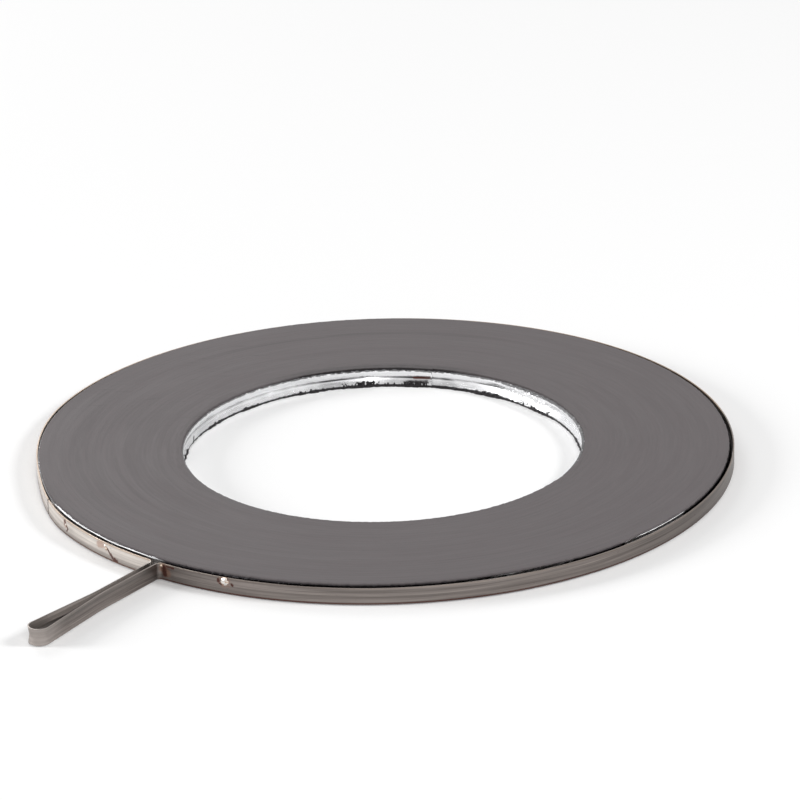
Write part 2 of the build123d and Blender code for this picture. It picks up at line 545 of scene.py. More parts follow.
def lay_handle(sizes, rim):
    """Lays out the handle strip as a sheet. Returns it with the stations of the legs' starts and of the tip.

    X runs along the handle, and the ring's axis is the origin.
    """
    spread = sizes.leg_clearance / 2 + sizes.fold_depth + sizes.strip_thickness / 2
    start_side = sizes.offset - spread
    return_side = sizes.offset + spread
    start_out, start_bend_angle = off_the_rim(rim, sizes.start_bend, start_side - sizes.start_bend)
    return_out, return_bend_angle = off_the_rim(rim, sizes.return_bend, return_side + sizes.return_bend)

    # The legs run side by side, part along a slope on each side, and meet round the loop.
    loop_centre = sizes.reach - sizes.loop_radius - sizes.strip_thickness / 2
    slope = asin(sizes.loop_radius / hypot(sizes.loop_run, spread)) - atan2(spread, sizes.loop_run)
    parting = loop_centre - sizes.loop_run - sizes.parting_radius * tan(slope / 2)
    parting_bend = sizes.parting_radius * Vector((sin(slope), cos(slope) - 1))
    loop_side = sizes.loop_radius * Vector((sin(slope), cos(slope)))
    slope_start = Vector((parting, start_side)) + parting_bend
    slope_run = (Vector((loop_centre, sizes.offset)) - loop_side - slope_start).length

    start_turn = sizes.start_angle - sizes.handle_angle
    end_turn = start_turn + 2 * pi - sizes.end_gap
    start = Vector((cos(start_turn), sin(start_turn))) * rim
    strip = StripRun(STRIP_ROWS, sizes.strip_width, start, start_turn + pi / 2)
    strip.bend(rim, start_bend_angle - start_turn, START_STEPS)
    strip.bend(sizes.start_bend, -pi / 2 - start_bend_angle, BEND_STEPS)
    leg_start = strip.stations[-1]
    strip.straight(parting - start_out, LEG_STEPS)
    strip.bend(sizes.parting_radius, -slope, PARTING_STEPS)
    strip.straight(slope_run, SLOPE_STEPS)
    loop_start = strip.stations[-1]
    strip.bend(sizes.loop_radius, pi + 2 * slope, LOOP_STEPS)
    tip = (loop_start + strip.stations[-1]) / 2
    strip.straight(slope_run, SLOPE_STEPS)
    strip.bend(sizes.parting_radius, -slope, PARTING_STEPS)
    strip.straight(parting - return_out, LEG_STEPS)
    leg_end = strip.stations[-1]
    strip.bend(sizes.return_bend, return_bend_angle - pi / 2, BEND_STEPS)
    strip.bend(rim, end_turn - return_bend_angle, RIM_STEPS)
    return strip, leg_start, tip, leg_end


class GASKET_OT_add_handle(bpy.types.Operator):
    """Bends the handle strip: round the rim, out along one leg, round the loop, back, and on round the rim"""

    bl_idname = "gasket.add_handle"
    bl_label = "Add Handle"

    def execute(self, context):
        sizes = context.scene.gasket_handle
        rim = context.scene.gasket_winding.crown_radius + sizes.strip_thickness / 2
        strip, leg_start, tip, leg_end = lay_handle(sizes, rim)
        bm = strip.bm
        along = bm.verts.layers.float.new("along")
        inner = bm.verts.layers.float.new("inner")
        headings = bm.verts.layers.float.new("heading")
        half_width = sizes.strip_width / 2
        for index, vert in enumerate(bm.verts):
            station = strip.stations[index // strip.rows]
            heading = strip.headings[index // strip.rows]
            vert[along] = station
            vert[headings] = heading
            fold = smooth_ramp((station - leg_start) / sizes.fold_run)
            fold *= smooth_ramp((leg_end - station) / sizes.fold_run)
            loop_lengths = abs(station - tip) / (pi * sizes.loop_radius)
            fold *= 1 - sizes.loop_flattening * smooth_ramp(FOLD_BACK - loop_lengths)
            inwards = Vector((-sin(heading), cos(heading), 0))
            vert.co += inwards * fold * sizes.fold_depth * (1 - abs(vert.co.z) / half_width)
            # The strip's thickness is added inwards, so the sheet lies on its outer side.
            vert.co -= inwards * sizes.strip_thickness / 2
        bmesh.ops.recalc_face_normals(bm, faces=bm.faces)
        bmesh.ops.solidify(bm, geom=bm.faces[:], thickness=sizes.strip_thickness)
        bm.normal_update()
        for vert in bm.verts:
            inwards = Vector((-sin(vert[headings]), cos(vert[headings]), 0))
            vert[inner] = 1 if vert.normal.dot(inwards) > 0 else 0
            off_back = abs(turn_from(sizes.back_angle, vert))
            raised = smooth_ramp((RAISED_TO - off_back) / (RAISED_TO - RAISED_IN_FULL))
            vert.co.z += HANDLE_MIDDLE + sizes.back_rise * raised
        bm.verts.layers.float.remove(headings)
        to_handle = Matrix.Rotation(sizes.handle_angle, 3, "Z")
        bmesh.ops.rotate(bm, verts=bm.verts, cent=(0, 0, 0), matrix=to_handle)
        press_dent(bm, context.scene, folded=False)
        material = handle_steel(context.scene)
        piece = add_piece(bm, "bent_handle_strip", material, ["handle_strip"])
        shade_by_angle(piece, 35)
        return {"FINISHED"}


# Squeezed graphite

Flash = namedtuple("Flash", "seat lip low high rise grain unevenness base arcs")

# Where graphite is squeezed over the edges of the bare turns. Radii and heights are in mm, arcs in degrees.
# The seat lies in the filler, the lip is as far as the flash reaches, and the rise is its swelling there.
FLASHES = {
    "bore_bottom_flash": Flash(32.5, 31.62, -1.598, -1.24, 0.40, 40, 0.30, 0.76, (Arc(30, 112, 0.26),)),
    "bore_top_flash": Flash(
        32.5, 31.82, 1.25, 1.325, 0.16, 48, 1.3, 0.02, (Arc(66, 118, 0.75), Arc(118, 138, 0.25))
    ),
    "rim_top_flash": Flash(
        54.85, 55.68, 1.25, 1.325, 0.10, 90, 1.2, 0.06,
        (Arc(233, 258, 0.66), Arc(258, 284, 0.45), Arc(299, 312, 0.45), Arc(326, 360, 0.4)),
    ),
    "bore_flake": Flash(
        32.4, 31.66, -1.30, -0.74, 0.30, 70, 0.6, 0.0, (Arc(73, 86, 1.02), Arc(84, 106, 0.80))
    ),
}

# Shares of a flash's full reach: its limits, where its top has its knee, and from where on it swells
LEAST_REACH = 0.03
MOST_REACH = 1.15
KNEE = 0.82
SWELL_START = 0.72
SWELL_RUN = 0.3

# How uneven it must be before it swells in a lump
LUMP_START = 0.45
LUMP_RUN = 0.4

Lip = namedtuple("Lip", "seat lip grain unevenness base arcs")

# Where the pressed faces themselves spread over the bare turns, above and below. The sizes are as above.
LIPS = {
    "bore_lip": Lip(33.0, 31.98, 50, 0.10, 0.62, (Arc(112, 330, 0.36), Arc(66, 118, -0.1))),
    "rim_lip": Lip(
        54.4, 55.42, 80, 0.12, 0.97, (Arc(202, 234, -0.22), Arc(283, 300, -0.12), Arc(311, 327, -0.2))
    ),
}

# Heights of a lip's corners in mm, and the share of its reach that slopes from its shoulder down to its edge
LIP_FOOT = 1.25
LIP_EDGE = 1.44
LIP_SHOULDER = 1.585
LIP_SEAT = 1.595
LIP_SLOPE = 0.16

ARC_FADE = 4


def cover(turn, flash):
    """How much of its reach a flash or a lip has at an angle."""
    return flash.base + sum(arc.share * within(arc, turn, ARC_FADE) for arc in flash.arcs)


def lay_band(segments, corners):
    """A closed band: a circle of edges extruded from corner to corner and bridged back to the first.

    The corners at an angle are radii and heights in mm.
    """
    bm = bmesh.new()
    rings = [bmesh.ops.create_circle(bm, segments=segments, radius=1)["verts"]]
    first_edges = bm.edges[:]
    last_edges = first_edges
    for _ in corners(0)[1:]:
        ring, last_edges = extrude(bm, last_edges)
        rings.append(ring)
    for corner, ring in enumerate(rings):
        for vert in ring:
            turn = turn_of(vert)
            radius, height = corners(turn)[corner]
            vert.co = Vector((cos(turn) * radius, sin(turn) * radius, height)) * MM
    bmesh.ops.bridge_loops(bm, edges=first_edges + last_edges)
    bmesh.ops.recalc_face_normals(bm, faces=bm.faces)
    return bm


class GASKET_OT_add_lips(bpy.types.Operator):
    """Spreads the pressed graphite over the edges of the bare turns, on both faces"""

    bl_idname = "gasket.add_lips"
    bl_label = "Add Lips"

    segments: IntProperty(name="Segments", description="Steps round each lip", default=1400, min=60)
    seed: IntProperty(name="Seed", description="Start of the lips' uneven edges", default=31)

    def execute(self, context):
        material = pressed_graphite(context.scene)
        for index, (name, lip) in enumerate(LIPS.items()):
            for side, place in ((1, "top"), (-1, "bottom")):
                seed = self.seed + index * 5 + side
                bm = lay_band(self.segments, lambda turn: self.corners(turn, lip, side, seed))
                press_dent(bm, context.scene)
                piece = add_piece(bm, f"{name}_{place}", material)
                shade_by_angle(piece, 20)
        return {"FINISHED"}

    def corners(self, turn, lip, side, seed):
        """The lip's corners at an angle: level with the face at its seat, and worn down towards its edge."""
        reach = cover(turn, lip) + lip.unevenness * (ragged(turn, lip.grain, seed) - 0.5)
        edge = lip.seat + (lip.lip - lip.seat) * reach
        shoulder = lip.seat + (lip.lip - lip.seat) * (reach - LIP_SLOPE)
        return (
            (lip.seat, side * LIP_FOOT),
            (edge, side * LIP_FOOT),
            (edge, side * LIP_EDGE),
            (shoulder, side * LIP_SHOULDER),
            (lip.seat, side * LIP_SEAT),
        )


class GASKET_OT_add_flash(bpy.types.Operator):
    """Lays ragged bands of squeezed graphite over the edges of the bare turns"""

    bl_idname = "gasket.add_flash"
    bl_label = "Add Flash"

    segments: IntProperty(name="Segments", description="Steps round each band", default=1800, min=60)

    def execute(self, context):
        material = torn_graphite(context.scene)
        for index, (name, flash) in enumerate(FLASHES.items()):
            seed = index * 7.3
            bm = lay_band(self.segments, lambda turn: self.corners(turn, flash, seed))
            press_dent(bm, context.scene)
            piece = add_piece(bm, name, material)
            shade_by_angle(piece, 60)
        return {"FINISHED"}

    def corners(self, turn, flash, seed):
        """The band's corners at an angle, as radii and heights in mm. It is ragged coarsely and finely."""
        fine = 1 + flash.unevenness * (ragged(turn, flash.grain, seed) - 0.5)
        coarse = 0.8 + 0.4 * ragged(turn, flash.grain / 8, seed + 50)
        reach = min(max(cover(turn, flash) * fine * coarse, LEAST_REACH), MOST_REACH)
        lip = flash.seat + (flash.lip - flash.seat) * reach
        knee = flash.seat + (flash.lip - flash.seat) * reach * KNEE
        # It swells in lumps where it reaches far.
        lump = smooth_ramp((ragged(turn, flash.grain * 1.7, seed + 90) - LUMP_START) / LUMP_RUN)
        swell = flash.rise * smooth_ramp((reach - SWELL_START) / SWELL_RUN) * (0.15 + 0.85 * lump)
        return (
            (flash.seat, flash.low),
            (lip, flash.low),
            (lip, flash.high + swell * 0.8),
            (knee, flash.high + swell),
            ((knee + flash.seat) / 2, flash.high + swell * 0.35),
            (flash.seat, flash.high),
        )


Scatter = namedtuple("Scatter", "start end radius spread low high count size")

# Loose crumbs that cling beside the flashes: arcs in degrees, and radii, heights and sizes in mm
CRUMBS = (
    Scatter(234, 258, 55.45, 0.35, 1.30, 1.45, 60, 0.09),
    Scatter(200, 232, 55.35, 0.30, 1.30, 1.36, 14, 0.06),
    Scatter(262, 330, 55.4, 0.35, 1.30, 1.38, 40, 0.06),
    Scatter(62, 114, 31.66, 0.05, -1.50, -1.15, 22, 0.09),
    Scatter(114, 174, 31.68, 0.05, -1.50, -1.35, 5, 0.05),
    Scatter(30, 62, 31.68, 0.05, -1.50, -1.2, 14, 0.09),
    Scatter(68, 136, 32.05, 0.22, 1.30, 1.48, 60, 0.07),
    Scatter(136, 178, 31.95, 0.1, 1.30, 1.40, 16, 0.045),
)


class GASKET_OT_add_crumbs(bpy.types.Operator):
    """Scatters small crumbs of graphite along the squeezed edges"""

    bl_idname = "gasket.add_crumbs"
    bl_label = "Add Crumbs"

    seed: IntProperty(name="Seed", description="Start of the random draws", default=4)

    def execute(self, context):
        draw = Random(self.seed)
        bm = bmesh.new()
        for scatter in CRUMBS:
            for _ in range(scatter.count):
                made = bmesh.ops.create_icosphere(bm, subdivisions=1, radius=1)["verts"]
                size = Vector((draw.uniform(0.5, 1.6), draw.uniform(0.4, 1.0), draw.uniform(0.35, 0.9)))
                bmesh.ops.scale(bm, verts=made, vec=size * scatter.size * MM)
                for vert in made:
                    vert.co *= draw.uniform(0.75, 1.2)
                degrees = draw.uniform(scatter.start, scatter.end)
                radius = scatter.radius + draw.uniform(-scatter.spread, scatter.spread)
                place = on_ring(radius * MM, degrees, draw.uniform(scatter.low, scatter.high) * MM)
                twist = Matrix.Rotation(radians(degrees + 90) + draw.uniform(-0.7, 0.7), 3, "Z")
                bmesh.ops.rotate(bm, verts=made, cent=(0, 0, 0), matrix=twist)
                bmesh.ops.translate(bm, verts=made, vec=place)
        add_piece(bm, "graphite_crumbs", torn_graphite(context.scene))
        return {"FINISHED"}


# Spot welds

Bead = namedtuple("Bead", "angle height radius proud")
Stroke = namedtuple("Stroke", "start start_height end end_height width")

# Beads of spot weld on the handle strip: angles in degrees, the rest in mm
BEADS = (
    Bead(208.9, 0.25, 0.20, 0.06),
    Bead(220.6, 0.55, 0.30, 0.14),
    Bead(220.9, 0.20, 0.26, 0.12),
    Bead(233.1, 0.85, 0.26, 0.34),
    Bead(244.6, 0.52, 0.66, 0.22),
)
BEAD_SUNK = 0.02 * MM

# Dark oxide and scratches on the handle strip
SCORCHES = (
    Stroke(208.6, 0.80, 208.8, 0.45, 0.46),
    Stroke(208.9, 0.35, 209.6, -0.20, 0.26),
    Stroke(209.6, -0.20, 209.2, -0.70, 0.20),
    Stroke(221.1, 0.40, 221.9, -0.35, 0.26),
    Stroke(221.9, -0.35, 222.3, -0.75, 0.36),
    Stroke(222.8, -1.00, 223.3, -1.10, 0.55),
    Stroke(233.5, 0.85, 233.7, -0.45, 0.60),
    Stroke(234.1, 0.95, 235.4, 0.90, 0.24),
    Stroke(243.5, 0.68, 243.5, 0.48, 0.34),
    Stroke(245.8, 0.22, 245.9, 0.12, 0.34),
    Stroke(243.7, 0.15, 244.0, -0.02, 0.18),
)

# Brown halos round them
HALOS = (
    Stroke(208.8, 0.30, 208.8, 0.30, 0.8),
    Stroke(219.0, 0.45, 219.8, 0.65, 0.8),
    Stroke(233.6, 0.30, 234.0, -0.10, 1.1),
    Stroke(244.6, 0.52, 244.6, 0.52, 1.2),
)

# Oxide on the bore's wall, where the strip's start is welded to the turn behind it
BORE_SCORCHES = (Stroke(75.4, 0.10, 79.8, -0.05, 0.42),)

# Graphite on the bore's wall: along the strip's start, and smeared up from the lower edge
BORE_STAINS = (
    Stroke(74.4, 1.15, 74.4, -0.90, 0.16),
    Stroke(76.0, -0.50, 82.0, -0.80, 0.40),
    Stroke(97.0, -0.35, 97.6, -1.15, 0.22),
    Stroke(101.0, -0.40, 100.2, -1.15, 0.22),
    Stroke(162.0, -0.30, 164.0, -1.10, 0.35),
    Stroke(30.0, -0.30, 31.5, -1.00, 0.40),
)


def over_the_strip(scene):
    """Radius over the handle strip, where it lies on the rim."""
    return scene.gasket_winding.crown_radius + scene.gasket_handle.strip_thickness


class GASKET_OT_add_welds(bpy.types.Operator):
    """Adds the beads of the spot welds on the handle strip"""

    bl_idname = "gasket.add_welds"
    bl_label = "Add Welds"

    def execute(self, context):
        seat = over_the_strip(context.scene) - BEAD_SUNK
        bm = bmesh.new()
        for bead in BEADS:
            made = bmesh.ops.create_uvsphere(bm, u_segments=24, v_segments=14, radius=1)["verts"]
            for vert in made:
                lump = 1 + 0.35 * noise.noise(vert.co * 1.6 + Vector((bead.angle, 0, 0)))
                vert.co = vert.co * lump * bead.radius * MM
                vert.co.x *= bead.proud / bead.radius
            outwards = Matrix.Rotation(radians(bead.angle), 3, "Z")
            bmesh.ops.rotate(bm, verts=made, cent=(0, 0, 0), matrix=outwards)
            bmesh.ops.translate(bm, verts=made, vec=on_ring(seat, bead.angle, bead.height * MM))
        press_dent(bm, context.scene, folded=False)
        piece = add_piece(bm, "spot_weld_beads", weld_metal(context.scene))
        piece.data.shade_smooth()
        return {"FINISHED"}


# Recipes for finishes


class Value:
    """What a node puts out. A sum written with it becomes a node."""

    def __init__(self, recipe, socket):
        self.recipe = recipe
        self.socket = socket

    def __add__(self, other):
        return self.recipe.math("ADD", self, other)

    def __sub__(self, other):
        return self.recipe.math("SUBTRACT", self, other)

    def __rsub__(self, other):
        return self.recipe.math("SUBTRACT", other, self)

    def __mul__(self, other):
        return self.recipe.math("MULTIPLY", self, other)

    def __truediv__(self, other):
        return self.recipe.math("DIVIDE", self, other)

    def __rtruediv__(self, other):
        return self.recipe.math("DIVIDE", other, self)

    def __abs__(self):
        return self.recipe.math("ABSOLUTE", self)

    __radd__ = __add__
    __rmul__ = __mul__


class Recipe:
    """Adds nodes to a tree. An input is a number, a vector, a colour of three numbers, or a Value."""

    def __init__(self, tree):
        self.nodes = tree.nodes
        self.links = tree.links

    def fill(self, node, inputs):
        """Sets or links a node's inputs. Every colour is opaque."""
        for name, value in inputs.items():
            taken = node.inputs[name]
            if isinstance(value, Value):
                self.links.new(value.socket, taken)
            elif taken.type == "RGBA":
                taken.default_value = (*value, 1)
            else:
                taken.default_value = value

    def node(self, kind, inputs, **settings):
        """A node with its settings made and its inputs filled."""
        node = self.nodes.new(f"ShaderNode{kind}")
        for name, value in settings.items():
            setattr(node, name, value)
        self.fill(node, inputs)
        return node

    def add(self, kind, inputs, output=0, **settings):
        """What a new node puts out at one of its outputs."""
        return Value(self, self.node(kind, inputs, **settings).outputs[output])

    def outputs(self, node):
        """All that a node puts out, by name."""
        return {socket.name: Value(self, socket) for socket in node.outputs}

    def group(self, tree, inputs):
        """All that a node group puts out, by name."""
        return self.outputs(self.node("Group", inputs, node_tree=tree))

    def math(self, operation, *values):
        """The result of a sum on numbers."""
        return self.add("Math", dict(enumerate(values)), operation=operation)

    def vector_math(self, operation, *values, output="Vector"):
        """The result of a sum on vectors."""
        return self.add("VectorMath", dict(enumerate(values)), output, operation=operation)

    def largest(self, first, second):
        """The larger of two numbers."""
        return self.math("MAXIMUM", first, second)

    def smallest(self, first, second):
        """The smaller of two numbers."""
        return self.math("MINIMUM", first, second)

    def vector(self, x, y, z):
        """A vector of three numbers."""
        return self.add("CombineXYZ", {"X": x, "Y": y, "Z": z})

    def parts(self, vector):
        """The three numbers of a vector, by name."""
        return self.outputs(self.node("SeparateXYZ", {0: vector}))

    def length(self, vector):
        """The length of a vector."""
        return self.vector_math("LENGTH", vector, output="Value")

    def dot(self, first, second):
        """The dot product of two vectors."""
        return self.vector_math("DOT_PRODUCT", first, second, output="Value")

    def scaled(self, vector, factor):
        """A vector or a colour times a number."""
        return self.vector_math("MULTIPLY", vector, self.vector(factor, factor, factor))

    def ramp(self, value, start, end):
        """0 at the start, 1 at the end, and smooth between."""
        inputs = {"Value": value, "From Min": start, "From Max": end}
        return self.add("MapRange", inputs, interpolation_type="SMOOTHSTEP")

    def noise(self, vector, scale, detail=3.0, roughness=0.55):
        """Uneven value from 0 to 1."""
        inputs = {"Vector": vector, "Scale": scale, "Detail": detail, "Roughness": roughness}
        return self.add("TexNoise", inputs)

    def swept_noise(self, swept, round_scale, across_scale, detail=3.0, roughness=0.55):
        """Uneven value drawn out along the turns. Its scales are for a radian round and a mm across."""
        place = self.vector_math("MULTIPLY", swept, (round_scale, round_scale, across_scale))
        return self.noise(place, 1, detail, roughness)

    def bump(self, height, strength, distance):
        """The normal of a relief."""
        return self.add("Bump", {"Height": height, "Strength": strength, "Distance": distance})


def shader_group(build):
    """Makes a node group once. Its maker gives the names and kinds of its sockets and fills it."""

    def made_once():
        name = build.__name__
        if name not in bpy.data.node_groups:
            build(bpy.data.node_groups.new(name, "ShaderNodeTree"))
        return bpy.data.node_groups[name]

    return made_once


def open_group(group, inputs, outputs):
    """Gives a group its sockets. Returns its recipe, what comes in by name, and the node of its outputs."""
    for direction, sockets in (("INPUT", inputs), ("OUTPUT", outputs)):
        for name, kind in sockets.items():
            group.interface.new_socket(name, in_out=direction, socket_type=f"NodeSocket{kind}")
    recipe = Recipe(group)
    given = recipe.outputs(group.nodes.new("NodeGroupInput"))
    return recipe, given, group.nodes.new("NodeGroupOutput")


@shader_group
def round_the_ring(group):
    """Radius, angle and height of a place, and a vector that changes slowly round the ring, fast across."""
    recipe, given, out = open_group(
        group,
        {"Place": "Vector"},
        {"Radius": "Float", "Angle": "Float", "Height": "Float", "Swept": "Vector"},
    )
    place = recipe.parts(given["Place"])
    flat = recipe.vector(place["X"], place["Y"], 0)
    radius = recipe.length(flat)
    direction = recipe.parts(recipe.vector_math("NORMALIZE", flat))
    recipe.fill(out, {
        "Radius": radius,
        "Angle": recipe.math("ARCTAN2", place["Y"], place["X"]),
        "Height": place["Z"],
        "Swept": recipe.vector(direction["X"], direction["Y"], radius / MM),
    })


@shader_group
def arc_mask(group):
    """1 within an arc, and 0 away from it."""
    recipe, given, out = open_group(
        group, {"Angle": "Float", "Middle": "Float", "Half": "Float", "Fade": "Float"}, {"Mask": "Float"}
    )
    gap = given["Angle"] - given["Middle"]
    gap = recipe.math("ARCTAN2", recipe.math("SINE", gap), recipe.math("COSINE", gap))
    recipe.fill(out, {"Mask": recipe.ramp(abs(gap), given["Half"] + given["Fade"], given["Half"])})


@shader_group
def stroke_mask(group):
    """1 along a short line between two places, and 0 away from it, with an uneven edge."""
    recipe, given, out = open_group(
        group,
        {"Place": "Vector", "Start": "Vector", "End": "Vector", "Width": "Float", "Unevenness": "Float"},
        {"Mask": "Float"},
    )
    lumps = recipe.add("TexNoise", {"Vector": given["Place"], "Scale": 2500, "Detail": 2}, output="Color")
    shake = recipe.vector_math("SUBTRACT", lumps, (0.5, 0.5, 0.5))
    shake = recipe.scaled(shake, given["Width"] * given["Unevenness"])
    shaken = recipe.vector_math("ADD", given["Place"], shake)
    from_start = recipe.vector_math("SUBTRACT", shaken, given["Start"])
    line = recipe.vector_math("SUBTRACT", given["End"], given["Start"])
    # A stroke that starts where it ends is a dot, and the least length keeps it from a division by zero.
    share = recipe.dot(from_start, line) / recipe.largest(recipe.dot(line, line), 1e-12)
    share = recipe.smallest(recipe.largest(share, 0), 1)
    gap = recipe.length(recipe.vector_math("SUBTRACT", from_start, recipe.scaled(line, share)))
    recipe.fill(out, {"Mask": recipe.ramp(gap, given["Width"], 0.35 * given["Width"])})


@shader_group
def rolling_lines(group):
    """Fine lines along a strip, from its rolling and from rubbing, and slow changes along it."""
    recipe, given, out = open_group(
        group, {"Along": "Float", "Height": "Float"}, {"Lines": "Float", "Bands": "Float", "Drift": "Float"}
    )
    along = given["Along"]
    height = given["Height"]
    fine = recipe.noise(recipe.vector(90 * along, 9000 * height, 0), 1, 3)
    wide = recipe.noise(recipe.vector(30 * along, 2200 * height, 5), 1, 2)
    slow = recipe.noise(recipe.vector(160 * along, 300 * height, 9), 1, 2)
    recipe.fill(out, {
        "Lines": recipe.ramp(fine, 0.32, 0.68),
        "Bands": recipe.ramp(wide, 0.35, 0.65),
        "Drift": slow,
    })


@shader_group
def graphite_smear(group):
    """Patches of graphite dust that handling has rubbed on, more of them as the amount grows."""
    recipe, given, out = open_group(
        group, {"Place": "Vector", "Amount": "Float", "Size": "Float"}, {"Smear": "Float"}
    )
    patches = recipe.noise(given["Place"], 1 / given["Size"], 5, 0.7)
    edge = 1 - given["Amount"]
    recipe.fill(out, {"Smear": recipe.ramp(patches, edge - 0.06, edge + 0.06)})


class Coat(Recipe):
    """A material in the making. Tints are laid one over the other, and its shader takes what they come to."""

    def __init__(self, name, tint):
        self.material = bpy.data.materials.get(name) or bpy.data.materials.new(name)
        self.material.use_nodes = True
        super().__init__(self.material.node_tree)
        self.nodes.clear()
        self.shader = self.node("BsdfPrincipled", {})
        self.node("OutputMaterial", {"Surface": Value(self, self.shader.outputs["BSDF"])})
        self.tint = tint

    @cached_property
    def place(self):
        """The object's own coordinates."""
        return self.add("TexCoord", {}, output="Object")

    @cached_property
    def ring(self):
        """The place as radius, angle and height, and as the vector that is swept along the turns."""
        return self.group(round_the_ring(), {"Place": self.place})

    def carried(self, name):
        """A value that the mesh carries at its points."""
        return self.add("Attribute", {}, output="Fac", attribute_name=name)

    def arc(self, start, end, fade=5):
        """Mask of an arc between two angles in degrees."""
        inputs = {
            "Angle": self.ring["Angle"],
            "Middle": radians((start + end) / 2),
            "Half": radians((end - start) / 2 - fade / 2),
            "Fade": radians(fade),
        }
        return self.group(arc_mask(), inputs)["Mask"]

    def strokes(self, radius, marks, unevenness):
        """Mask of all the marks that lie at a radius."""
        total = 0.0
        for mark in marks:
            inputs = {
                "Place": self.place,
                "Start": on_ring(radius, mark.start, mark.start_height * MM),
                "End": on_ring(radius, mark.end, mark.end_height * MM),
                "Width": mark.width * MM,
                "Unevenness": unevenness,
            }
            total = self.largest(total, self.group(stroke_mask(), inputs)["Mask"])
        return total

    def smear(self, place, amount, size):
        """Mask of patches of graphite dust."""
        return self.group(graphite_smear(), {"Place": place, "Amount": amount, "Size": size})["Smear"]

    def cover(self, tint, share):
        """Lays a tint over what is there, as much of it as the share says."""
        # A Mix node's colours go in at its sockets 6 and 7, and come out at 2.
        self.tint = self.add("Mix", {0: share, 6: self.tint, 7: tint}, output=2, data_type="RGBA")

    def dim(self, factor):
        """Darkens or lightens what is there."""
        self.tint = self.scaled(self.tint, factor)

    def finish(self, inputs):
        """Gives the shader the tint and its other inputs, and hands over the material."""
        self.fill(self.shader, {"Base Color": self.tint, **inputs})
        return self.material


# Finishes


def strip_steel(scene):
    """Bright rolled strip: fine lines, painted shade in the crease along the fold, smeared edges and a weld's
    oxide.
    """
    tints = scene.gasket_finish
    bore = scene.gasket_winding.bore_radius
    crown = scene.gasket_winding.crown_radius
    coat = Coat("rolled_strip_steel", tints.steel)
    radius = coat.ring["Radius"]
    height = coat.ring["Height"]
    grain = coat.group(rolling_lines(), {"Along": coat.carried("along"), "Height": height})
    lines = grain["Lines"]
    drift = grain["Drift"]
    crumple_middle = in_degrees(scene.gasket_winding.crumple_angle)
    crumpled = coat.arc(crumple_middle - 14, crumple_middle + 14, 8)
    crumpled = crumpled * coat.ramp(radius, 33.5 * MM, 33.0 * MM)
    coat.cover(tints.grey_steel, lines * drift * (1 - 0.55 * crumpled))

    # Painted shade darkens the crease, most on the far side of the bore from the strip's loose patch.
    crease = coat.ramp(abs(height + 0.05 * MM), 0.30 * MM, 0.04 * MM)
    crease_shade = 0.08 + 0.44 * coat.arc(66, 350, 14) + 0.45 * coat.arc(66, 112, 10)
    coat.cover(tints.dark_graphite, crease * (crease_shade * coat.ramp(drift, 0.2, 0.6)))

    # The lower half is darker at the back of the bore.
    behind = coat.largest(0.5 * coat.arc(100, 182, 14), coat.arc(62, 114, 12))
    darker_below = coat.ramp(height, -0.05 * MM, -0.5 * MM) * behind * coat.ramp(drift, 0.2, 0.7)
    coat.cover(tints.dark_graphite, 0.6 * darker_below)

    # Graphite is smeared up from the lower edge and down from the upper one, but hardly on the burrs.
    on_rim = coat.ramp(radius, crown - 3 * MM, crown - 2.5 * MM)
    near_edge = coat.ramp(abs(height), 0.75 * MM, 1.3 * MM)
    burred = coat.largest(coat.arc(203, 231, 2), coat.arc(282, 327, 2)) * on_rim
    smear = coat.smear(coat.place, near_edge * (0.62 - 0.52 * burred), 0.9 * MM)
    coat.cover(tints.dark_graphite, 0.8 * smear)

    # Smears and oxide on the bore's wall
    in_bore = coat.ramp(radius, bore + 0.55 * MM, bore + 0.50 * MM)
    stain = in_bore * coat.strokes(bore, BORE_STAINS, 0.9)
    coat.cover(tints.dark_graphite, 0.85 * stain)
    scorch = in_bore * coat.strokes(bore + 0.3 * MM, BORE_SCORCHES, 0.7)
    coat.cover(tints.burn, 0.85 * scorch)

    # Upper edges of the bare turns at the rim, seen from above
    amount = 0.75 - 0.50 * coat.arc(10, 233) - 0.15 * coat.arc(208, 232, 2)
    amount = amount - 0.28 * coat.arc(282, 301, 2) - 0.50 * coat.arc(311, 326, 2)
    coat.cover(tints.dark_graphite, on_rim * coat.smear(coat.ring["Swept"], amount, 0.045))

    # Painted shade darkens the gap between the outermost turn and the handle strip.
    gap = coat.ramp(radius, crown - 0.50 * MM, crown - 0.42 * MM) * coat.ramp(height, 1.42 * MM, 1.26 * MM)
    coat.cover(tints.dark_graphite, 0.6 * gap)

    # The crumpled patch of the bore's strip is creased finely too.
    creased = coat.noise(coat.vector_math("MULTIPLY", coat.place, (1, 1, 0.6)), 1500, 3, 0.6)
    dull = coat.largest(0.7 * smear, 0.5 * scorch)
    return coat.finish({
        "Metallic": 1,
        "Roughness": 0.20 + 0.12 * lines + 0.35 * dull,
        "Normal": coat.bump(creased * crumpled + 0.06 * lines, 0.6, 0.10 * MM),
    })


